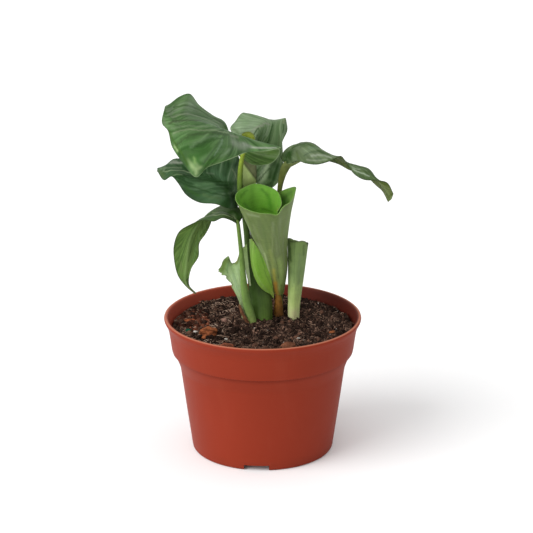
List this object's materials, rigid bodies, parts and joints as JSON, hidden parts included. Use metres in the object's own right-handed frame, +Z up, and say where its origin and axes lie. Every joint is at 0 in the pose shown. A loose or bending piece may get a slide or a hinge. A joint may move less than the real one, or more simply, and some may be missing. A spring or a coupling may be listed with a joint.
{
  "type": "potted prayer plant",
  "caption": "Young round-leaved prayer plant with arching banded leaves and a rolled new leaf, growing in a round plastic nursery pot filled with soil.",
  "frame": {"origin": "on the surface that the pot stands on, below the middle of the whole plant's outline, 6.7 mm to the right of the pot's own axis", "axes": "+Z up along the pot's axis, +X to the right and +Y to the back, seen from the side that shows the rolled new leaf"},
  "size_m": [0.1229, 0.105, 0.1992],
  "materials": {
    "terracotta_plastic": "satin injection-moulded plastic",
    "peat": "damp crumbly peat and coir",
    "leaf_green": "waxy leaf with silver-green bands",
    "young_leaf": "soft bright young leaf",
    "stalk_green": "smooth green stalk",
    "sheath": "pale papery sheath",
    "dry_sheath": "dry brown scale",
    "husk": "fibrous coir husk",
    "bark": "rough bark",
    "perlite": "chalky expanded perlite",
    "pebble": "dull gravel",
    "feed_bead": "smooth coated bead",
    "rhizome": "fleshy root stock"
  },
  "bodies": {
    "root": {"pot": "terracotta_plastic", "soil": "peat", "rhizome": "rhizome", "stalk_upper_left": "stalk_green", "stalk_upper_back": "stalk_green", "stalk_mid_left": "stalk_green", "stalk_right": "stalk_green", "stalk_low_left": "stalk_green", "rolled_leaf_stalk": "stalk_green", "leaf_upper_left": "leaf_green", "leaf_upper_back": "leaf_green", "leaf_mid_left": "leaf_green", "leaf_right": "leaf_green", "leaf_low_left": "leaf_green", "rolled_leaf": "young_leaf", "rolled_leaf_flap": "young_leaf", "cut_stub": "sheath", "torn_sheath": "sheath", "sheath_wing": "sheath", "dry_scale": "dry_sheath", "husk_chunk": "husk", "husk_shred": "husk", "bark_front": "bark", "bark_front_right": "bark", "bark_right": "husk", "pebble": "pebble", "feed_bead": "feed_bead", "perlite_left": "perlite", "perlite_front": "perlite", "perlite_right": "perlite"}
  },
  "joints": []
}
